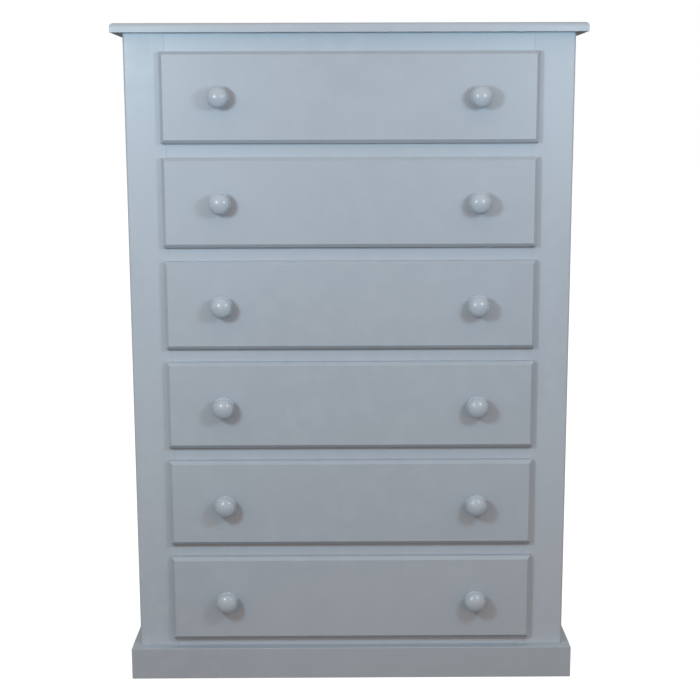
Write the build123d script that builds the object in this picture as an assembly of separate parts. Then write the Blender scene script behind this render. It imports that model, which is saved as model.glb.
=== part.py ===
from build123d import *
from math import asin, cos, radians, sin
import os

# A tall chest of six equal drawers. Millimetres, +Z up, the drawers open towards -Y.
# The origin is on the floor, at the middle of the overall footprint from knob tips to back.

# ---- carcass ----
overall_height = 1210
carcass_width = 800
carcass_depth = 408
side_thickness = 18

top_width = 838
top_thickness = 16
top_front_overhang = 22
top_edge_radius = 7

frame_thickness = 20
stile_corner_radius = 4

plinth_height = 60
plinth_width = 830
plinth_front_thickness = 20

back_thickness = 6
back_rebate_width = 9
back_inset = 2
back_floor_gap = 10

# ---- drawer fronts ----
drawer_count = 6
front_width = 672
front_height = 160
front_thickness = 16
front_pitch = 185
front_chamfer = 6
lowest_front_bottom = 77
front_overlap = 8.5
closing_gap = 0.5

# ---- drawer boxes ----
box_side_gap = 2
box_lift = 0.8
box_height = 130
box_length = 370
box_board = 12
groove_depth = 5
bottom_thickness = 6
bottom_height = 10
back_board_inset = 8
tail_count = 3
tail_wide = 28
tail_narrow = 23

# ---- runners and guides ----
runner_width = 22
guide_rise = 20

# ---- knobs ----
knob_spacing = 462
knob_collar_radius = 12.5
knob_collar_height = 2.5
knob_neck_radius = 11
knob_neck_bend = 0.55
knob_neck_swell = 1
knob_cup_radius = 17
knob_rim_radius = 20.4
knob_rim_thickness = 3
knob_rim_distance = 22
knob_head_radius = 18.6
knob_head_edge_radius = 8
knob_head_undercut = 25
knob_groove_flare = 0.4
knob_crown_radius = 25
knob_projection = 40

# ---- screws ----
screw_radius = 2
screw_head_radius = 4
screw_head_height = 2.4
screw_head_round = 1
cross_length = 4.6
cross_width = 0.9
cross_depth = 1.2
knob_screw_grip = 15
front_screw_grip = 13
front_screw_spacing = 300
front_screw_rise = 70

# ---- sizes that follow ----
overall_depth = carcass_depth + closing_gap + front_thickness + knob_projection
back_y = overall_depth / 2
frame_y = back_y - carcass_depth
frame_back_y = frame_y + frame_thickness
drawer_y = frame_y - closing_gap
panel_back_y = back_y - back_inset
panel_front_y = panel_back_y - back_thickness

half_carcass = carcass_width / 2
side_inner_x = half_carcass - side_thickness
underside_z = overall_height - top_thickness

opening_width = front_width - 2 * front_overlap
opening_height = front_height - 2 * front_overlap
rail_height = front_pitch - opening_height
stile_inner_x = opening_width / 2
runner_inner_x = stile_inner_x - runner_width

box_width = opening_width - 2 * box_side_gap
box_outer_x = box_width / 2
box_inner_x = box_outer_x - box_board
box_bottom_z = front_overlap + box_lift
box_top_z = box_bottom_z + box_height
panel_bottom_z = box_bottom_z + bottom_height
knob_z = front_height / 2


def block(x, y, z):
    """A rectangular board between two limits along each axis."""
    board = Box(x[1] - x[0], y[1] - y[0], z[1] - z[0], align=(Align.MIN, Align.MIN, Align.MIN))
    return Pos(x[0], y[0], z[0]) * board


def mirrored(shape):
    """The same shape on the other side of the chest's middle plane."""
    return mirror(shape, about=Plane.YZ)


def group(shapes):
    """Several separate solids kept together in one sub-part."""
    return Compound(children=[solid for shape in shapes for solid in shape.solids()])


def front_bottom(number):
    """Height of the lower edge of a drawer front, with drawer 1 at the top."""
    return lowest_front_bottom + (drawer_count - number) * front_pitch


def opening_bottom(number):
    """Height of the lower edge of a drawer's opening in the face frame."""
    return front_bottom(number) + front_overlap


# ---- carcass pieces ----

def top_board():
    """The top, flush at the back, with a rounded upper edge along its front and ends."""
    half = top_width / 2
    board = block((-half, half), (frame_y - top_front_overhang, back_y), (underside_z, overall_height))
    upper = board.faces().sort_by(Axis.Z)[-1].edges()
    rounded = [edge for edge in upper if edge.center().Y < back_y - 1]
    return fillet(rounded, top_edge_radius)


def side_panel():
    """The right side, behind the stile, rebated along its rear inner edge for the back panel."""
    panel = block((side_inner_x, half_carcass), (frame_back_y, back_y), (0, underside_z))
    rebate = block(
        (side_inner_x, side_inner_x + back_rebate_width),
        (panel_front_y, back_y),
        (0, underside_z),
    )
    return panel - rebate


def back_panel():
    """A thin sheet set into the rebates of both sides."""
    half = side_inner_x + back_rebate_width
    return block((-half, half), (panel_front_y, panel_back_y), (back_floor_gap, underside_z))


def stile():
    """The right upright of the face frame, with its outer front corner softened."""
    upright = block((stile_inner_x, half_carcass), (frame_y, frame_back_y), (0, underside_z))
    corner = upright.edges().filter_by(Axis.Z).sort_by(lambda edge: edge.center().X - edge.center().Y)[-1]
    return fillet(corner, stile_corner_radius)


def rail(bottom, top):
    """A cross member of the face frame, between the two stiles."""
    return block((-stile_inner_x, stile_inner_x), (frame_y, frame_back_y), (bottom, top))


def plinth_front():
    """The front plinth board, which runs across the ends of the two side boards."""
    half = plinth_width / 2
    return block((-half, half), (frame_y - plinth_front_thickness, frame_y), (0, plinth_height))


def plinth_side():
    """The right plinth board, along the outside of the side panel."""
    return block((half_carcass, plinth_width / 2), (frame_y, back_y), (0, plinth_height))


def drawer_guides():
    """A batten beside each drawer side, flush with the inner edge of the stile."""
    battens = []
    for number in range(1, drawer_count + 1):
        level = opening_bottom(number)
        batten = block(
            (stile_inner_x, side_inner_x),
            (frame_back_y, panel_front_y),
            (level - rail_height, level + guide_rise),
        )
        battens += [batten, mirrored(batten)]
    return group(battens)


def drawer_runners():
    """A batten under each drawer side, and a last pair that stops the top drawer tipping."""
    levels = [opening_bottom(number) for number in range(1, drawer_count + 1)]
    spans = [(level - rail_height, level) for level in levels]
    spans.append((opening_bottom(1) + opening_height, underside_z))
    battens = []
    for span in spans:
        batten = block((runner_inner_x, stile_inner_x), (frame_back_y, panel_front_y), span)
        battens += [batten, mirrored(batten)]
    return group(battens)


# ---- drawer pieces, with the front's back face at Y 0 and its lower edge at Z 0 ----

def drawer_front():
    """An overlay front, chamfered round the edges of its face."""
    half = front_width / 2
    board = block((-half, half), (-front_thickness, 0), (0, front_height))
    return chamfer(board.faces().sort_by(Axis.Y)[0].edges(), front_chamfer)


def tails():
    """The dovetails on the front end of the right box side, wider towards the front."""
    step = box_height / tail_count
    outline = [
        (0, -tail_wide / 2),
        (box_board, -tail_narrow / 2),
        (box_board, tail_narrow / 2),
        (0, tail_wide / 2),
    ]
    tail = extrude(Plane.YZ * Polygon(*outline, align=None), amount=box_board)
    heights = [box_bottom_z + step * (index + 0.5) for index in range(tail_count)]
    return [Pos(box_inner_x, 0, height) * tail for height in heights]


def box_side():
    """The right side of a drawer box, ending in dovetails at the front."""
    side = block((box_inner_x, box_outer_x), (box_board, box_length), (box_bottom_z, box_top_z))
    for tail in tails():
        side += tail
    return side


def box_front():
    """The front board of a drawer box, with sockets for the dovetails of both sides."""
    board = block((-box_outer_x, box_outer_x), (0, box_board), (box_bottom_z, box_top_z))
    for tail in tails():
        board -= tail
        board -= mirrored(tail)
    return board


def box_back():
    """The back board, which stands on the bottom and is housed in both sides."""
    half = box_inner_x + groove_depth
    rear = box_length - back_board_inset
    return block((-half, half), (rear - box_board, rear), (panel_bottom_z + bottom_thickness, box_top_z))


def box_bottom():
    """The bottom sheet, held in grooves in the front and sides, and open at the rear."""
    half = box_inner_x + groove_depth
    return block(
        (-half, half),
        (box_board - groove_depth, box_length),
        (panel_bottom_z, panel_bottom_z + bottom_thickness),
    )


def knob():
    """A turned knob along -Y: collar, waisted neck, thin round-edged rim and flattened round head."""
    rim_round = knob_rim_thickness / 2
    rim_back = (knob_rim_radius - rim_round, knob_rim_distance - rim_round)
    rim_front = (knob_rim_radius - rim_round, knob_rim_distance + rim_round)
    neck_top = (knob_cup_radius, rim_back[1])
    neck_middle = (knob_neck_radius + knob_neck_swell, (knob_collar_height + neck_top[1]) * knob_neck_bend)

    crown_centre = knob_projection - knob_crown_radius
    edge_x = knob_head_radius - knob_head_edge_radius
    centres_apart = knob_crown_radius - knob_head_edge_radius
    edge_y = crown_centre + (centres_apart ** 2 - edge_x ** 2) ** 0.5
    crown_angle = asin(edge_x / centres_apart)
    undercut = radians(knob_head_undercut)
    crown_end = (knob_crown_radius * sin(crown_angle), crown_centre + knob_crown_radius * cos(crown_angle))
    crown_middle = (
        knob_crown_radius * sin(crown_angle / 2),
        crown_centre + knob_crown_radius * cos(crown_angle / 2),
    )
    head_foot = (
        edge_x + knob_head_edge_radius * cos(undercut),
        edge_y - knob_head_edge_radius * sin(undercut),
    )
    outline = [
        Polyline(
            (0, knob_projection),
            (0, 0),
            (knob_collar_radius, 0),
            (knob_collar_radius, knob_collar_height),
            (knob_neck_radius, knob_collar_height),
        ),
        ThreePointArc((knob_neck_radius, knob_collar_height), neck_middle, neck_top),
        Line(neck_top, rim_back),
        ThreePointArc(rim_back, (knob_rim_radius, knob_rim_distance), rim_front),
        Polyline(rim_front, (head_foot[0] + knob_groove_flare, rim_front[1]), head_foot),
        ThreePointArc(head_foot, (knob_head_radius, edge_y), crown_end),
        ThreePointArc(crown_end, crown_middle, (0, knob_projection)),
    ]
    turned = revolve(make_face(outline), axis=Axis.Y)
    return Rot(Z=180) * turned


def screw(length):
    """A round-headed screw seated at the origin, with its shank along -Y."""
    head = Pos(0, 0, -screw_head_height / 2) * Cylinder(screw_head_radius, screw_head_height)
    head = fillet(head.edges().sort_by(Axis.Z)[0], screw_head_round)
    recess_z = -screw_head_height + cross_depth / 2
    head -= Pos(0, 0, recess_z) * Box(cross_length, cross_width, cross_depth)
    head -= Pos(0, 0, recess_z) * Box(cross_width, cross_length, cross_depth)
    shank = Pos(0, 0, length / 2) * Cylinder(screw_radius, length)
    return Rot(X=90) * (head + shank)


def drawer_screws():
    """Two screws into the knobs, and four that hold the front to its box."""
    knob_screw = screw(box_board + front_thickness + knob_screw_grip)
    front_screw = screw(box_board + front_screw_grip)
    placed = []
    for side in (-1, 1):
        placed.append(Pos(side * knob_spacing / 2, box_board, knob_z) * knob_screw)
        for level in (-1, 1):
            height = knob_z + level * front_screw_rise / 2
            placed.append(Pos(side * front_screw_spacing / 2, box_board, height) * front_screw)
    return placed


def drawer_pieces():
    """Every sub-part of one drawer, by name."""
    screws = drawer_screws()
    bottom = box_bottom()
    back = box_back()
    side = box_side() - bottom - back
    inner_front = box_front() - bottom
    front = drawer_front()
    knobs = []
    for direction in (-1, 1):
        knobs.append(Pos(direction * knob_spacing / 2, -front_thickness, knob_z) * knob())
    for fastener in screws:
        inner_front -= fastener
        front -= fastener
        knobs = [turned - fastener for turned in knobs]
    return {
        "front": front,
        "box_front": inner_front,
        "sides": group([mirrored(side), side]),
        "back": back,
        "bottom": bottom,
        "knobs": group(knobs),
        "screws": group(screws),
    }


def carcass_pieces():
    """Every sub-part of the carcass, by name."""
    pieces = {
        "top_board": top_board(),
        "left_side_panel": mirrored(side_panel()),
        "right_side_panel": side_panel(),
        "back_panel": back_panel(),
        "left_stile": mirrored(stile()),
        "right_stile": stile(),
        "top_rail": rail(opening_bottom(1) + opening_height, underside_z),
        "bottom_rail": rail(opening_bottom(drawer_count) - rail_height, opening_bottom(drawer_count)),
        "plinth_front": plinth_front(),
        "plinth_left": mirrored(plinth_side()),
        "plinth_right": plinth_side(),
        "drawer_guides": drawer_guides(),
        "drawer_runners": drawer_runners(),
    }
    for number in range(1, drawer_count):
        level = opening_bottom(number)
        pieces[f"middle_rail_{number}"] = rail(level - rail_height, level)
    return pieces


def main():
    os.makedirs("parts", exist_ok=True)
    pieces = carcass_pieces()
    for number in range(1, drawer_count + 1):
        place = Pos(0, drawer_y, front_bottom(number))
        for name, shape in drawer_pieces().items():
            pieces[f"drawer_{number}_{name}"] = place * shape
    for name, shape in pieces.items():
        export_step(shape, f"parts/{name}.step")


main()
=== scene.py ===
"""The looks of a painted six-drawer chest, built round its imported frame.

Metres, +Z up, the drawers open towards -Y.
"""

import math
import random

import bmesh
import bpy
from mathutils import Matrix, Vector

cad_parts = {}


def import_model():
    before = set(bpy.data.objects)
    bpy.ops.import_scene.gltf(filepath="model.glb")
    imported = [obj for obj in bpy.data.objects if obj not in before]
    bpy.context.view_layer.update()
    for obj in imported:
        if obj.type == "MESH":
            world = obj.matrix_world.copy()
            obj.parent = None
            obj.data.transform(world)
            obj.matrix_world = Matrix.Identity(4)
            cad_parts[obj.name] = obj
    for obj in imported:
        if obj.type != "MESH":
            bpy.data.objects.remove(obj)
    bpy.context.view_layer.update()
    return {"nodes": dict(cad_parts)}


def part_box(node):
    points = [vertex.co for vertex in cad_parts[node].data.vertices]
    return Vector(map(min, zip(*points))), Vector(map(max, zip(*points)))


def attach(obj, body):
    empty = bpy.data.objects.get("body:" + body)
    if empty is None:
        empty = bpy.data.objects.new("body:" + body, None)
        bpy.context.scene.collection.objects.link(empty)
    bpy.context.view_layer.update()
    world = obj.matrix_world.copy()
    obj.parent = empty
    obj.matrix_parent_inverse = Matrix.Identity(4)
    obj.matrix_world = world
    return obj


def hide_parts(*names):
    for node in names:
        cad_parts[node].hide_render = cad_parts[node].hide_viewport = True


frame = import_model()
nodes = frame["nodes"]
rng = random.Random(71)

DRAWERS = range(1, 7)
HANDS = ("left", "right")

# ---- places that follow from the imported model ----
stile_low, stile_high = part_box("right_stile")
face_front_y = stile_low.y
face_back_y = stile_high.y
stile_inner_x = stile_low.x
underside_z = stile_high.z
side_inner_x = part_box("right_side_panel")[0].x

# ---- camera ----
CAMERA_X = -0.0131
CAMERA_DISTANCE = 2.3777
CAMERA_HEIGHT = 1.0328
CAMERA_YAW = math.radians(0.298)
CAMERA_PITCH = math.radians(9.677)
CAMERA_ROLL = math.radians(-0.178)
SENSOR_WIDTH = 36.0
FOCAL_LENGTH = 67.715
NEAREST_SEEN = 0.05
FARTHEST_SEEN = 100.0

# ---- light: a lamp's place is its sideways shift, its distance in front of the stiles and its height ----
LEFT_LAMP = (-0.72, 1.28, 1.21)
RIGHT_LAMP = (0.68, 1.08, 1.21)
LAMP_RADIUS = 0.15
LEFT_LAMP_POWER = 33.3
RIGHT_LAMP_POWER = 18.7
LEFT_LAMP_COLOUR = (0.625, 0.861, 1.0)
RIGHT_LAMP_COLOUR = (0.601, 0.837, 1.0)
FRONT_FILL = (0.827, 0.536, 0.394)
ROUND_FILL = (0.36, 0.33, 0.30)
FRONT_FILL_START = 0.25
FRONT_FILL_FULL = 0.85
FILL_BELOW = 0.65
FILL_ABOVE = 1.15
FILL_BELOW_SLOPE = -0.7
FILL_ABOVE_SLOPE = 0.8
BACK_LAMP_SHIFT = 2.2
BACK_LAMP_Y = 2.4
BACK_LAMP_HEIGHT = 1.0
BACK_LAMP_AIM = (0.0, 0.0, 0.6)
BACK_LAMP_POWER = 11.0
BACK_LAMP_SIZE = 1.6
BACK_LAMP_COLOUR = (1.0, 0.98, 0.95)

# ---- colours, linear ----
WHITE = (1.0, 1.0, 1.0)
PAINT_COLOUR = (0.490, 0.570, 0.640)
PAINT_DEEP_SHADE = (0.95, 0.955, 0.965)
PAINT_PALE_SHADE = (1.03, 1.025, 1.02)
FRONT_TONE = 0.925
# painted shade: the plinth's paint is 10 % darker, standing in for the weaker light at the foot of the
# chest
PLINTH_PAINTED_SHADE_TONE = 0.90
# painted light: the top and bottom rails' paint is 5 % lighter, standing in for light that the top board's
# overhang and the lowest drawer keep off them
RAIL_PAINTED_LIGHT_TONE = 1.05
PRIMER_COLOUR = (0.60, 0.60, 0.56)
PINE_LIGHT = (0.66, 0.47, 0.27)
PINE_DARK = (0.44, 0.25, 0.11)
PINE_END = (0.40, 0.25, 0.13)
KNOT_COLOUR = (0.16, 0.07, 0.03)
PLY_LIGHT = (0.62, 0.46, 0.29)
PLY_DARK = (0.48, 0.32, 0.18)
PLY_GLUE = (0.22, 0.13, 0.07)
STEEL_COLOUR = (0.62, 0.61, 0.58)
ZINC_COLOUR = (0.66, 0.62, 0.50)
FLOOR_PALE = (0.20, 0.20, 0.20)
FLOOR_DARK = (0.18, 0.18, 0.18)

# ---- finish: roughness, how far edges are worn, and relief in metres ----
SATIN = 0.40
GRAIN_THROUGH_PAINT = 0.00004
BRUSH_MARK = 0.00002
ORANGE_PEEL = 0.000012
WORN_EDGE_RADIUS = 0.0012
WORN_EDGE_SHARE = 0.35
FLAT_COSINE = 0.995
EDGE_COSINE = 0.80
BARE_ROUGHNESS = 0.28
BARE_RELIEF = 0.00010
PINE_RELIEF = 0.00012
PINE_RINGS = 85.0
PINE_SWAY = 12.0
PLY_PAIR = 0.0024
PLY_FLAMES = 48.0
PLY_RELIEF = 0.00008
SCRATCH_DEPTH = 0.00001
OVERSPRAY_DEPTH = 0.0024
TOLERANCE = 0.0004

# ---- texture scales per metre: one number, or along the grain and across it ----
PAINT_CLOUD = 2.3
PAINT_MOTTLE = 34.0
PAINT_PEEL = 750.0
PAINT_WEAR = 90.0
PAINT_STREAK = (7.0, 420.0)
WOOD_THROUGH_PAINT = (1.8, 60.0)
PINE_SWAY_SCALE = (1.6, 9.0)
PINE_RING_SCALE = (1.1, 16.0)
PINE_FIBRE = (12.0, 900.0)
PINE_TINT = (1.0, 3.0)
PINE_KNOT = (2.6, 5.5)
END_SPECKLE = 700.0
PLY_FLAME_SCALE = (1.4, 22.0)
PLY_PORE = (25.0, 1300.0)
STEEL_CAST = 260.0
STEEL_SCRATCH = (300.0, 2500.0, 300.0)
FLOOR_CLOUD = 3.0

# ---- radius of the softened edges ----
STILE_EDGE = 0.0009
PANEL_EDGE = 0.0006
TOP_EDGE = 0.0010
PLINTH_EDGE = 0.0012
BACK_PANEL_EDGE = 0.0003
BATTEN_EDGE = 0.0010
FRONT_EDGE = 0.0009
DOVETAIL_EDGE = 0.0003
BOX_BACK_EDGE = 0.0008
BOTTOM_EDGE = 0.0002
WELD_DISTANCE = 0.00001
EDGE_ANGLE = math.radians(28)
FACE_WEIGHT = 60


# ---- shader helpers ----

def new_material(name):
    """An empty node material with one Principled shader, and its node tree."""
    material = bpy.data.materials.new(name)
    material.use_nodes = True
    tree = material.node_tree
    tree.nodes.clear()
    output = tree.nodes.new("ShaderNodeOutputMaterial")
    shader = tree.nodes.new("ShaderNodeBsdfPrincipled")
    tree.links.new(shader.outputs["BSDF"], output.inputs["Surface"])
    return material, tree, shader


def feed(tree, socket, value):
    """Links a socket to another socket, or sets it to a plain value."""
    if isinstance(value, bpy.types.NodeSocket):
        tree.links.new(value, socket)
    elif value is not None:
        socket.default_value = value


def colour4(colour):
    """A colour with full opacity, or the socket that gives one."""
    if isinstance(colour, bpy.types.NodeSocket):
        return colour
    return (*colour, 1.0)


def calc(tree, operation, first, second=None, third=None):
    """One Math node."""
    node = tree.nodes.new("ShaderNodeMath")
    node.operation = operation
    feed(tree, node.inputs[0], first)
    feed(tree, node.inputs[1], second)
    feed(tree, node.inputs[2], third)
    return node.outputs["Value"]


def remap(tree, value, from_low, from_high, to_low=0.0, to_high=1.0, smooth=True):
    """A value moved from one range to another, held at the ends."""
    node = tree.nodes.new("ShaderNodeMapRange")
    node.interpolation_type = "SMOOTHSTEP" if smooth else "LINEAR"
    feed(tree, node.inputs["Value"], value)
    feed(tree, node.inputs["From Min"], from_low)
    feed(tree, node.inputs["From Max"], from_high)
    feed(tree, node.inputs["To Min"], to_low)
    feed(tree, node.inputs["To Max"], to_high)
    return node.outputs["Result"]


def mix(tree, factor, first, second):
    """Two colours mixed by a factor."""
    node = tree.nodes.new("ShaderNodeMix")
    node.data_type = "RGBA"
    feed(tree, node.inputs["Factor"], factor)
    feed(tree, node.inputs[6], colour4(first))
    feed(tree, node.inputs[7], colour4(second))
    return node.outputs[2]


def object_point(tree):
    """The point in the part's own coordinates, in metres."""
    return tree.nodes.new("ShaderNodeTexCoord").outputs["Object"]


def scaled(tree, point, scale):
    """A point scaled along each axis."""
    node = tree.nodes.new("ShaderNodeMapping")
    feed(tree, node.inputs["Vector"], point)
    feed(tree, node.inputs["Scale"], scale)
    return node.outputs["Vector"]


def noise(tree, point, scale, detail=3.0, roughness=0.55, distortion=0.0):
    """Fractal noise from 0 to 1."""
    node = tree.nodes.new("ShaderNodeTexNoise")
    feed(tree, node.inputs["Vector"], point)
    feed(tree, node.inputs["Scale"], scale)
    feed(tree, node.inputs["Detail"], detail)
    feed(tree, node.inputs["Roughness"], roughness)
    feed(tree, node.inputs["Distortion"], distortion)
    return node.outputs["Fac"]


def split(tree, vector):
    """The three parts of a vector."""
    node = tree.nodes.new("ShaderNodeSeparateXYZ")
    feed(tree, node.inputs["Vector"], vector)
    return node.outputs["X"], node.outputs["Y"], node.outputs["Z"]


def bump(tree, height, distance, normal=None):
    """A normal bent by a height, where distance is the height's full size in metres."""
    node = tree.nodes.new("ShaderNodeBump")
    feed(tree, node.inputs["Height"], height)
    feed(tree, node.inputs["Strength"], 1.0)
    feed(tree, node.inputs["Distance"], distance)
    feed(tree, node.inputs["Normal"], normal)
    return node.outputs["Normal"]


def along(axis, lengthwise, across):
    """Scales for a texture stretched along one axis."""
    scales = [across, across, across]
    scales["xyz".index(axis)] = lengthwise
    return tuple(scales)


def rounded_edges(tree, radius):
    """How much the surface turns within a small radius, 0 on flats and up to 1 on edges."""
    bevel = tree.nodes.new("ShaderNodeBevel")
    bevel.samples = 4
    feed(tree, bevel.inputs["Radius"], radius)
    geometry = tree.nodes.new("ShaderNodeNewGeometry")
    dot = tree.nodes.new("ShaderNodeVectorMath")
    dot.operation = "DOT_PRODUCT"
    feed(tree, dot.inputs[0], bevel.outputs["Normal"])
    feed(tree, dot.inputs[1], geometry.outputs["True Normal"])
    return remap(tree, dot.outputs["Value"], FLAT_COSINE, EDGE_COSINE)


def facing(tree, axis):
    """How squarely a face looks along one axis, 0 to 1."""
    normal = split(tree, tree.nodes.new("ShaderNodeNewGeometry").outputs["True Normal"])
    return calc(tree, "ABSOLUTE", normal["xyz".index(axis)])


# ---- bare wood ----

def pine_colour(tree, point, axis):
    """Colour and height of planed pine with its rings along one axis, with a few knots."""
    info = tree.nodes.new("ShaderNodeObjectInfo")
    seed = calc(tree, "MULTIPLY", info.outputs["Random"], 7.0)
    shift = tree.nodes.new("ShaderNodeCombineXYZ")
    for name in ("X", "Y", "Z"):
        feed(tree, shift.inputs[name], seed)
    moved = tree.nodes.new("ShaderNodeVectorMath")
    moved.operation = "ADD"
    feed(tree, moved.inputs[0], point)
    feed(tree, moved.inputs[1], shift.outputs["Vector"])
    placed = moved.outputs["Vector"]

    sway = noise(tree, scaled(tree, placed, along(axis, *PINE_SWAY_SCALE)), 1.0, 2.0)
    rings = noise(tree, scaled(tree, placed, along(axis, *PINE_RING_SCALE)), 1.0, 1.5, 0.4)
    bend = calc(tree, "MULTIPLY", sway, PINE_SWAY)
    phase = calc(tree, "ADD", calc(tree, "MULTIPLY", rings, PINE_RINGS), bend)
    wave = calc(tree, "MULTIPLY_ADD", calc(tree, "SINE", phase), 0.5, 0.5)
    late = remap(tree, wave, 0.35, 1.0)
    fibre = noise(tree, scaled(tree, placed, along(axis, *PINE_FIBRE)), 1.0, 3.0, 0.6)
    tint = noise(tree, scaled(tree, placed, along(axis, *PINE_TINT)), 1.0, 2.0)

    knots = tree.nodes.new("ShaderNodeTexVoronoi")
    knots.feature = "F1"
    feed(tree, knots.inputs["Vector"], scaled(tree, placed, along(axis, *PINE_KNOT)))
    feed(tree, knots.inputs["Scale"], 1.0)
    knot = remap(tree, knots.outputs["Distance"], 0.085, 0.055)

    colour = mix(tree, late, PINE_LIGHT, PINE_DARK)
    colour = mix(tree, remap(tree, fibre, 0.35, 0.75, 0.0, 0.22), colour, PINE_DARK)
    colour = mix(tree, remap(tree, tint, 0.3, 0.7, 0.0, 0.25), colour, PINE_LIGHT)
    colour = mix(tree, knot, colour, KNOT_COLOUR)
    height = calc(tree, "ADD", calc(tree, "MULTIPLY", late, 0.5), calc(tree, "MULTIPLY", fibre, 0.5))
    return colour, height


def bare_pine(name, axis):
    """Planed, unfinished pine, darker on the faces cut across the grain."""
    material, tree, shader = new_material(name)
    point = object_point(tree)
    colour, height = pine_colour(tree, point, axis)
    speckle = noise(tree, point, END_SPECKLE, 2.0)
    ends = mix(tree, remap(tree, speckle, 0.35, 0.65), PINE_END, PINE_DARK)
    end_grain = remap(tree, facing(tree, axis), 0.7, 0.9)
    colour = mix(tree, calc(tree, "MULTIPLY", end_grain, 0.8), colour, ends)
    feed(tree, shader.inputs["Base Color"], colour)
    feed(tree, shader.inputs["Roughness"], remap(tree, height, 0.0, 1.0, 0.62, 0.78))
    feed(tree, shader.inputs["Normal"], bump(tree, height, PINE_RELIEF))
    return material


def plywood(name, face_axis, grain_axis):
    """A thin sheet with open grain on its faces and its plies showing at the edges."""
    material, tree, shader = new_material(name)
    point = object_point(tree)
    grain = noise(tree, scaled(tree, point, along(grain_axis, *PLY_FLAME_SCALE)), 1.0, 3.0, 0.5)
    wave = calc(tree, "SINE", calc(tree, "MULTIPLY", grain, PLY_FLAMES))
    flame = remap(tree, wave, -1.0, 1.0)
    pores = noise(tree, scaled(tree, point, along(grain_axis, *PLY_PORE)), 1.0, 2.0)
    face = mix(tree, calc(tree, "MULTIPLY", flame, 0.55), PLY_LIGHT, PLY_DARK)
    face = mix(tree, remap(tree, pores, 0.55, 0.8, 0.0, 0.5), face, PLY_DARK)
    depth = split(tree, point)["xyz".index(face_axis)]
    plies = calc(tree, "SINE", calc(tree, "MULTIPLY", depth, 2.0 * math.pi / PLY_PAIR))
    edge = mix(tree, remap(tree, plies, -0.2, 0.2), PLY_LIGHT, PLY_GLUE)
    colour = mix(tree, remap(tree, facing(tree, face_axis), 0.5, 0.7), edge, face)
    feed(tree, shader.inputs["Base Color"], colour)
    feed(tree, shader.inputs["Roughness"], remap(tree, pores, 0.2, 0.8, 0.58, 0.72))
    feed(tree, shader.inputs["Normal"], bump(tree, pores, PLY_RELIEF))
    return material


# ---- paint ----

def painted_wood(name, axis, tone=1.0, rough=SATIN, grain=GRAIN_THROUGH_PAINT, bare_inside=False):
    """Satin paint over wood: faint mottling, brush marks along the grain and slightly worn edges."""
    material, tree, shader = new_material(name)
    point = object_point(tree)
    cloud = noise(tree, point, PAINT_CLOUD, 3.0, 0.5)
    mottle = noise(tree, point, PAINT_MOTTLE, 3.0, 0.6)
    streak = noise(tree, scaled(tree, point, along(axis, *PAINT_STREAK)), 1.0, 3.0, 0.6)
    wood = noise(tree, scaled(tree, point, along(axis, *WOOD_THROUGH_PAINT)), 1.0, 4.0, 0.6, 0.4)
    peel = noise(tree, point, PAINT_PEEL, 2.0, 0.5)

    base = tuple(channel * tone for channel in PAINT_COLOUR)
    deep = tuple(channel * tone * shade for channel, shade in zip(PAINT_COLOUR, PAINT_DEEP_SHADE))
    pale = tuple(channel * tone * shade for channel, shade in zip(PAINT_COLOUR, PAINT_PALE_SHADE))
    colour = mix(tree, remap(tree, cloud, 0.35, 0.65), deep, base)
    colour = mix(tree, remap(tree, mottle, 0.40, 0.70, 0.0, 0.55), colour, pale)
    colour = mix(tree, remap(tree, streak, 0.50, 0.80, 0.0, 0.18), colour, deep)

    edge = rounded_edges(tree, WORN_EDGE_RADIUS)
    patchy = remap(tree, noise(tree, point, PAINT_WEAR, 4.0, 0.7), 0.42, 0.66)
    worn = calc(tree, "MULTIPLY", calc(tree, "MULTIPLY", edge, patchy), WORN_EDGE_SHARE)
    colour = mix(tree, worn, colour, PRIMER_COLOUR)

    rough = calc(tree, "ADD", rough, remap(tree, mottle, 0.3, 0.7, -0.04, 0.05, smooth=False))
    rough = calc(tree, "ADD", rough, remap(tree, streak, 0.3, 0.8, -0.02, 0.03, smooth=False))

    normal = bump(tree, wood, grain)
    normal = bump(tree, streak, BRUSH_MARK, normal)
    normal = bump(tree, peel, ORANGE_PEEL, normal)

    if bare_inside:
        pine, height = pine_colour(tree, point, axis)
        bare = inside_carcass(tree, point, mottle)
        colour = mix(tree, bare, colour, pine)
        rough = calc(tree, "ADD", rough, calc(tree, "MULTIPLY", bare, BARE_ROUGHNESS))
        normal = bump(tree, calc(tree, "MULTIPLY", height, bare), BARE_RELIEF, normal)

    feed(tree, shader.inputs["Base Color"], colour)
    feed(tree, shader.inputs["Roughness"], rough)
    feed(tree, shader.inputs["Normal"], normal)
    return material


def inside_carcass(tree, point, mottle):
    """1 on the wood that paint didn't reach inside the carcass, with a ragged edge of overspray."""
    x, y, z = split(tree, point)
    reach = remap(tree, mottle, 0.3, 0.7, 0.002, 0.012, smooth=False)
    depth = calc(tree, "SUBTRACT", y, face_back_y - OVERSPRAY_DEPTH)
    behind = remap(tree, calc(tree, "SUBTRACT", depth, reach), -0.002, 0.006)
    between = calc(tree, "LESS_THAN", calc(tree, "ABSOLUTE", x), side_inner_x + TOLERANCE)
    below = calc(tree, "LESS_THAN", z, underside_z + TOLERANCE)
    return calc(tree, "MULTIPLY", behind, calc(tree, "MULTIPLY", between, below))


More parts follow.
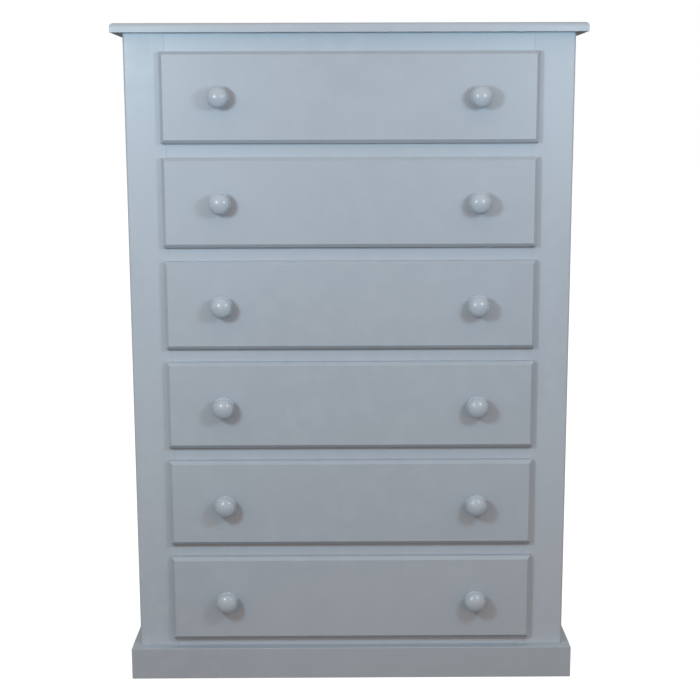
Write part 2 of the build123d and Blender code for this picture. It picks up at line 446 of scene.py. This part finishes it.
def plated_steel(name):
    """Zinc-plated steel, with a faint cast and fine scratches."""
    material, tree, shader = new_material(name)
    point = object_point(tree)
    cast = noise(tree, point, STEEL_CAST, 2.0)
    scratch = noise(tree, scaled(tree, point, STEEL_SCRATCH), 1.0, 2.0)
    colour = mix(tree, remap(tree, cast, 0.35, 0.65), STEEL_COLOUR, ZINC_COLOUR)
    feed(tree, shader.inputs["Base Color"], colour)
    feed(tree, shader.inputs["Metallic"], 1.0)
    feed(tree, shader.inputs["Roughness"], remap(tree, cast, 0.3, 0.7, 0.28, 0.42))
    feed(tree, shader.inputs["Normal"], bump(tree, scratch, SCRATCH_DEPTH))
    return material


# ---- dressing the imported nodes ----

def dress(node, material, edge_radius=0.0):
    """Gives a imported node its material, and softens its sharp edges without changing its mesh."""
    piece = nodes[node]
    if not piece.data.materials:
        piece.data.materials.append(material)
    for place in piece.material_slots:
        place.material = material
    weld = piece.modifiers.new("weld", "WELD")
    weld.merge_threshold = WELD_DISTANCE
    if edge_radius:
        soften = piece.modifiers.new("soft_edges", "BEVEL")
        soften.width = edge_radius
        soften.segments = 3
        soften.limit_method = "ANGLE"
        soften.angle_limit = EDGE_ANGLE
    shade = piece.modifiers.new("shading", "WEIGHTED_NORMAL")
    shade.weight = FACE_WEIGHT


def dress_carcass():
    """Paint outside, bare wood inside, and a plywood back."""
    upright = painted_wood("paint_upright", "z", bare_inside=True)
    level = painted_wood("paint_level", "x", bare_inside=True)
    # painted light: a lighter copy of the paint on the top and bottom rails, in place of light that the
    # overhang and the lowest drawer keep off them
    outer = painted_wood("paint_outer_rails_painted_light", "x", tone=RAIL_PAINTED_LIGHT_TONE, bare_inside=True)
    # painted shade: a darker copy of the paint on the plinth's front and sides, for the weaker light at
    # the foot of the chest
    plinth = painted_wood("paint_plinth", "x", tone=PLINTH_PAINTED_SHADE_TONE)
    plinth_side = painted_wood("paint_plinth_sides", "y", tone=PLINTH_PAINTED_SHADE_TONE)
    battens = bare_pine("batten_pine", "y")
    for hand in HANDS:
        dress(f"{hand}_stile", upright, STILE_EDGE)
        dress(f"{hand}_side_panel", upright, PANEL_EDGE)
        dress(f"plinth_{hand}", plinth_side, PLINTH_EDGE)
    for number in DRAWERS[:-1]:
        dress(f"middle_rail_{number}", level, STILE_EDGE)
    for node in ("top_rail", "bottom_rail"):
        dress(node, outer, STILE_EDGE)
    dress("top_board", level, TOP_EDGE)
    dress("plinth_front", plinth, PLINTH_EDGE)
    dress("back_panel", plywood("back_plywood", "y", "z"), BACK_PANEL_EDGE)
    dress("drawer_guides", battens, BATTEN_EDGE)
    dress("drawer_runners", battens, BATTEN_EDGE)


def dress_drawers():
    """Painted fronts on bare pine boxes, with plywood bottoms and steel screws."""
    front = painted_wood("paint_fronts", "x", tone=FRONT_TONE)
    cross = bare_pine("box_pine_cross", "x")
    side = bare_pine("box_pine_side", "y")
    sheet = plywood("bottom_plywood", "z", "x")
    steel = plated_steel("screw_steel")
    for number in DRAWERS:
        dress(f"drawer_{number}_front", front, FRONT_EDGE)
        dress(f"drawer_{number}_box_front", cross, DOVETAIL_EDGE)
        dress(f"drawer_{number}_back", cross, BOX_BACK_EDGE)
        dress(f"drawer_{number}_sides", side, DOVETAIL_EDGE)
        dress(f"drawer_{number}_bottom", sheet, BOTTOM_EDGE)
        dress(f"drawer_{number}_screws", steel)


# ---- turned knobs ----

KNOB_STEPS = 112
COLLAR_RADIUS = 0.0125
COLLAR_HEIGHT = 0.0025
NECK_RADIUS = 0.0110
NECK_PINCH = 0.0010
CUP_RADIUS = 0.0170
RIM_DISTANCE = 0.0220
RIM_HALF_THICKNESS = 0.0015
HEAD_SHRINK = 0.0018
HEAD_EDGE_RADIUS = 0.0080
HEAD_UNDERCUT = -25
CROWN_RADIUS = 0.0250
KNOB_FILLET = 0.0006
KNOB_GAP = 0.0001
NECK_FLARE = 0.0002
NECK_START = 0.0004
GROOVE_FLARE = 0.0004
WAIST_SHARE = 0.70
HEAD_TONE = 0.97
HEAD_ROUGH = 0.24
RIM_TONE = 0.95
RIM_ROUGH = 0.48
KNOB_GRAIN = 0.000006
FOOT_STEPS = 4
COLLAR_STEPS = 5
NECK_STEPS = 18
RIM_STEPS = 14
FLANK_STEPS = 18
CROWN_STEPS = 16


def arc(centre, radius, start, end, steps):
    """Points of an arc in the knob's profile, as (radius, distance) pairs, with its angles in degrees."""
    points = []
    for step in range(steps + 1):
        angle = math.radians(start + (end - start) * step / steps)
        points.append((centre[0] + radius * math.cos(angle), centre[1] + radius * math.sin(angle)))
    return points


def neck_curve(start, end, waist, steps):
    """A smooth waist between two points of the profile."""
    points = []
    for step in range(steps + 1):
        share = step / steps
        radius = (1 - share) ** 2 * start[0] + 2 * share * (1 - share) * waist[0] + share ** 2 * end[0]
        distance = (1 - share) ** 2 * start[1] + 2 * share * (1 - share) * waist[1] + share ** 2 * end[1]
        points.append((radius, distance))
    return points


def knob_profile(rim_radius, projection):
    """The turned outline, from the drawer's face outwards."""
    points = [(COLLAR_RADIUS + KNOB_FILLET, 0.0)]
    points += arc((COLLAR_RADIUS + KNOB_FILLET, KNOB_FILLET), KNOB_FILLET, 270, 180, FOOT_STEPS)[1:]
    collar_edge = (COLLAR_RADIUS - KNOB_FILLET, COLLAR_HEIGHT - KNOB_FILLET)
    points += arc(collar_edge, KNOB_FILLET, 0, 90, COLLAR_STEPS)
    points += [(NECK_RADIUS + NECK_FLARE, COLLAR_HEIGHT + KNOB_GAP)]

    rim_centre = (rim_radius - RIM_HALF_THICKNESS, RIM_DISTANCE)
    cup = (CUP_RADIUS, RIM_DISTANCE - RIM_HALF_THICKNESS)
    waist = (NECK_RADIUS - NECK_PINCH, cup[1] * WAIST_SHARE)
    points += neck_curve((NECK_RADIUS, COLLAR_HEIGHT + NECK_START), cup, waist, NECK_STEPS)
    points += arc(rim_centre, RIM_HALF_THICKNESS, -90, 90, RIM_STEPS)

    head_radius = rim_radius - HEAD_SHRINK
    edge_x = head_radius - HEAD_EDGE_RADIUS
    apart = CROWN_RADIUS - HEAD_EDGE_RADIUS
    crown_centre = projection - CROWN_RADIUS
    edge_y = crown_centre + math.sqrt(apart ** 2 - edge_x ** 2)
    crown_angle = 90 - math.degrees(math.asin(edge_x / apart))
    flank = arc((edge_x, edge_y), HEAD_EDGE_RADIUS, HEAD_UNDERCUT, crown_angle, FLANK_STEPS)
    points += [(flank[0][0] + GROOVE_FLARE, RIM_DISTANCE + RIM_HALF_THICKNESS + KNOB_GAP)]
    points += flank
    points += arc((0.0, crown_centre), CROWN_RADIUS, crown_angle, 90, CROWN_STEPS)[1:]
    return points


def made_piece(name, shape):
    """A smooth-shaded object made from a finished shape."""
    mesh = bpy.data.meshes.new(name)
    shape.to_mesh(mesh)
    shape.free()
    for face in mesh.polygons:
        face.use_smooth = True
    piece = bpy.data.objects.new(name, mesh)
    bpy.context.scene.collection.objects.link(piece)
    return piece


def turned_piece(name, profile, centre):
    """A closed solid of revolution about a line along -Y, starting at the drawer's face."""
    shape = bmesh.new()
    rings = []
    for radius, distance in profile[:-1]:
        ring = []
        for step in range(KNOB_STEPS):
            angle = 2 * math.pi * step / KNOB_STEPS
            offset = Vector((radius * math.cos(angle), -distance, radius * math.sin(angle)))
            ring.append(shape.verts.new(centre + offset))
        rings.append(ring)
    tip = shape.verts.new(centre + Vector((0.0, -profile[-1][1], 0.0)))
    heart = shape.verts.new(centre)
    for lower, upper in zip(rings, rings[1:]):
        for step in range(KNOB_STEPS):
            following = (step + 1) % KNOB_STEPS
            shape.faces.new((lower[step], lower[following], upper[following], upper[step]))
    for step in range(KNOB_STEPS):
        following = (step + 1) % KNOB_STEPS
        shape.faces.new((rings[-1][step], rings[-1][following], tip))
        shape.faces.new((rings[0][following], rings[0][step], heart))
    bmesh.ops.recalc_face_normals(shape, faces=shape.faces)
    return made_piece(name, shape)


def knobs():
    """Two painted knobs on every drawer, in place of the plain turned solids, glossiest on their heads."""
    head_paint = painted_wood("paint_knob_heads", "y", tone=HEAD_TONE, rough=HEAD_ROUGH, grain=KNOB_GRAIN)
    rim_paint = painted_wood("paint_knob_rims", "y", tone=RIM_TONE, rough=RIM_ROUGH, grain=KNOB_GRAIN)
    head_start = RIM_DISTANCE + RIM_HALF_THICKNESS + 2 * KNOB_GAP
    for number in DRAWERS:
        node = f"drawer_{number}_knobs"
        low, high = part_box(node)
        rim_radius = (high.z - low.z) / 2
        profile = knob_profile(rim_radius, high.y - low.y)
        height = (high.z + low.z) / 2
        for hand, x in zip(HANDS, (low.x + rim_radius, high.x - rim_radius)):
            knob = turned_piece(f"knob_{number}_{hand}", profile, Vector((x, high.y, height)))
            knob.data.materials.append(head_paint)
            knob.data.materials.append(rim_paint)
            for face in knob.data.polygons:
                face.material_index = int(high.y - face.center.y < head_start)
            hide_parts(node)
            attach(knob, f"drawer_{number}")


# ---- screws round the back panel ----

SCREW_HEAD = 0.0030
SCREW_RISE = 0.0012
SCREW_STEPS = 24
SCREW_RINGS = ((1.0, 0.0), (1.0, 0.35), (0.86, 0.75), (0.60, 0.95), (0.30, 1.0))
SLOT_REACH = 0.7
SLOT_DEPTH = 0.55
SIDE_SCREWS = 9
SCREW_INSET = 0.0045
SCREW_MARGIN = 0.04
SCREW_STRAY = 0.004


def screw_head(shape, centre):
    """A small domed head with a cross slot pressed into it, on the back panel's rear face."""
    rings = []
    turn = rng.uniform(0, math.pi / 2)
    for radius, rise in SCREW_RINGS:
        ring = []
        for step in range(SCREW_STEPS):
            angle = 2 * math.pi * step / SCREW_STEPS + turn
            in_slot = radius < SLOT_REACH and step % (SCREW_STEPS // 4) == 0
            sunk = SLOT_DEPTH if in_slot else 0.0
            offset = Vector((
                SCREW_HEAD * radius * math.cos(angle),
                SCREW_RISE * (rise - sunk),
                SCREW_HEAD * radius * math.sin(angle),
            ))
            ring.append(shape.verts.new(centre + offset))
        rings.append(ring)
    tip = shape.verts.new(centre + Vector((0.0, SCREW_RISE * (1 - SLOT_DEPTH), 0.0)))
    for inner, outer in zip(rings[1:], rings):
        for step in range(SCREW_STEPS):
            following = (step + 1) % SCREW_STEPS
            shape.faces.new((outer[step], outer[following], inner[following], inner[step]))
    for step in range(SCREW_STEPS):
        following = (step + 1) % SCREW_STEPS
        shape.faces.new((rings[-1][step], rings[-1][following], tip))
    shape.faces.new(rings[0])


def back_screws():
    """Screws that hold the back panel to the sides and to the ends of the guides."""
    low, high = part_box("back_panel")
    side_x = high.x - SCREW_INSET
    guide_x = (side_inner_x + stile_inner_x) / 2
    shape = bmesh.new()
    for side in (-1, 1):
        for index in range(SIDE_SCREWS):
            climb = (high.z - low.z - 2 * SCREW_MARGIN) * index / (SIDE_SCREWS - 1)
            z = low.z + SCREW_MARGIN + climb + rng.uniform(-SCREW_STRAY, SCREW_STRAY)
            screw_head(shape, Vector((side * side_x, high.y, z)))
        for number in DRAWERS:
            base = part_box(f"drawer_{number}_front")[0].z
            screw_head(shape, Vector((side * guide_x, high.y, base)))
    bmesh.ops.recalc_face_normals(shape, faces=shape.faces)
    screws = made_piece("back_panel_screws", shape)
    screws.data.materials.append(bpy.data.materials["screw_steel"])
    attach(screws, "carcass")


# ---- stage ----

FLOOR_REACH = 30.0
FLOOR_FRONT_Y = -6


def floor():
    """A large floor that shows plain white to the camera and throws a little light up on the chest."""
    ends = ((-1, FLOOR_FRONT_Y), (1, FLOOR_FRONT_Y), (1, FLOOR_REACH), (-1, FLOOR_REACH))
    shape = bmesh.new()
    shape.faces.new([shape.verts.new((side * FLOOR_REACH, y, 0.0)) for side, y in ends])
    plane = made_piece("floor", shape)
    material, tree, shader = new_material("floor_white")
    tint = mix(tree, noise(tree, object_point(tree), FLOOR_CLOUD), FLOOR_PALE, FLOOR_DARK)
    feed(tree, shader.inputs["Base Color"], tint)
    feed(tree, shader.inputs["Roughness"], 0.9)
    glow = tree.nodes.new("ShaderNodeLightPath").outputs["Is Camera Ray"]
    feed(tree, shader.inputs["Emission Color"], colour4(WHITE))
    feed(tree, shader.inputs["Emission Strength"], glow)
    plane.data.materials.append(material)


def world():
    """White to the camera, and on the chest a warm fill that comes mostly from the front."""
    surroundings = bpy.data.worlds.new("studio")
    bpy.context.scene.world = surroundings
    surroundings.use_nodes = True
    tree = surroundings.node_tree
    tree.nodes.clear()
    output = tree.nodes.new("ShaderNodeOutputWorld")
    seen = tree.nodes.new("ShaderNodeBackground")
    fill = tree.nodes.new("ShaderNodeBackground")
    feed(tree, seen.inputs["Color"], colour4(WHITE))
    direction = split(tree, tree.nodes.new("ShaderNodeTexCoord").outputs["Generated"])
    frontal = calc(tree, "MULTIPLY", direction[1], -1.0)
    front = remap(tree, frontal, FRONT_FILL_START, FRONT_FILL_FULL)
    strength = remap(tree, direction[2], FILL_BELOW_SLOPE, FILL_ABOVE_SLOPE, FILL_BELOW, FILL_ABOVE)
    feed(tree, fill.inputs["Color"], mix(tree, front, ROUND_FILL, FRONT_FILL))
    feed(tree, fill.inputs["Strength"], strength)
    blend = tree.nodes.new("ShaderNodeMixShader")
    feed(tree, blend.inputs["Fac"], tree.nodes.new("ShaderNodeLightPath").outputs["Is Camera Ray"])
    tree.links.new(fill.outputs["Background"], blend.inputs[1])
    tree.links.new(seen.outputs["Background"], blend.inputs[2])
    tree.links.new(blend.outputs["Shader"], output.inputs["Surface"])


def link_light(name, data, place):
    """Puts a light in the scene, in its place."""
    light = bpy.data.objects.new(name, data)
    light.location = place
    bpy.context.scene.collection.objects.link(light)
    return light


def front_lamp(name, stand, power, colour):
    """A soft round lamp in front of the chest."""
    data = bpy.data.lights.new(name, "POINT")
    data.shadow_soft_size = LAMP_RADIUS
    data.energy = power
    data.color = colour
    shift, distance, height = stand
    link_light(name, data, Vector((shift, face_front_y - distance, height)))


def back_lamp(name, place):
    """A wide soft lamp behind the chest, for its sides and back."""
    data = bpy.data.lights.new(name, "AREA")
    data.shape = "DISK"
    data.size = BACK_LAMP_SIZE
    data.energy = BACK_LAMP_POWER
    data.color = BACK_LAMP_COLOUR
    light = link_light(name, data, place)
    light.rotation_euler = (Vector(BACK_LAMP_AIM) - place).to_track_quat("-Z", "Y").to_euler()


def lights():
    """Two soft lamps in front, the left one stronger, and two wide ones behind."""
    front_lamp("lamp_left", LEFT_LAMP, LEFT_LAMP_POWER, LEFT_LAMP_COLOUR)
    front_lamp("lamp_right", RIGHT_LAMP, RIGHT_LAMP_POWER, RIGHT_LAMP_COLOUR)
    back_lamp("back_left", Vector((-BACK_LAMP_SHIFT, BACK_LAMP_Y, BACK_LAMP_HEIGHT)))
    back_lamp("back_right", Vector((BACK_LAMP_SHIFT, BACK_LAMP_Y, BACK_LAMP_HEIGHT)))


def camera():
    """A camera in front of the chest, a little below the top, looking slightly down."""
    forward = Vector((
        math.sin(CAMERA_YAW) * math.cos(CAMERA_PITCH),
        math.cos(CAMERA_YAW) * math.cos(CAMERA_PITCH),
        -math.sin(CAMERA_PITCH),
    ))
    level = Vector((math.cos(CAMERA_YAW), -math.sin(CAMERA_YAW), 0.0))
    upright = level.cross(forward)
    right = level * math.cos(CAMERA_ROLL) + upright * math.sin(CAMERA_ROLL)
    up = upright * math.cos(CAMERA_ROLL) - level * math.sin(CAMERA_ROLL)
    data = bpy.data.cameras.new("camera")
    data.sensor_width = SENSOR_WIDTH
    data.lens = FOCAL_LENGTH
    data.clip_start = NEAREST_SEEN
    data.clip_end = FARTHEST_SEEN
    eye = bpy.data.objects.new("camera", data)
    turn = Matrix((right, up, -forward)).transposed().to_4x4()
    place = Vector((CAMERA_X, face_front_y - CAMERA_DISTANCE, CAMERA_HEIGHT))
    eye.matrix_world = Matrix.Translation(place) @ turn
    bpy.context.scene.collection.objects.link(eye)
    bpy.context.scene.camera = eye


def plain_colour_management():
    """Colours leave the render as they are lit, with no film curve."""
    settings = bpy.context.scene.view_settings
    settings.view_transform = "Standard"
    settings.look = "None"
    settings.exposure = 0.0
    settings.gamma = 1.0


dress_carcass()
dress_drawers()
knobs()
back_screws()
floor()
world()
lights()
camera()
plain_colour_management()
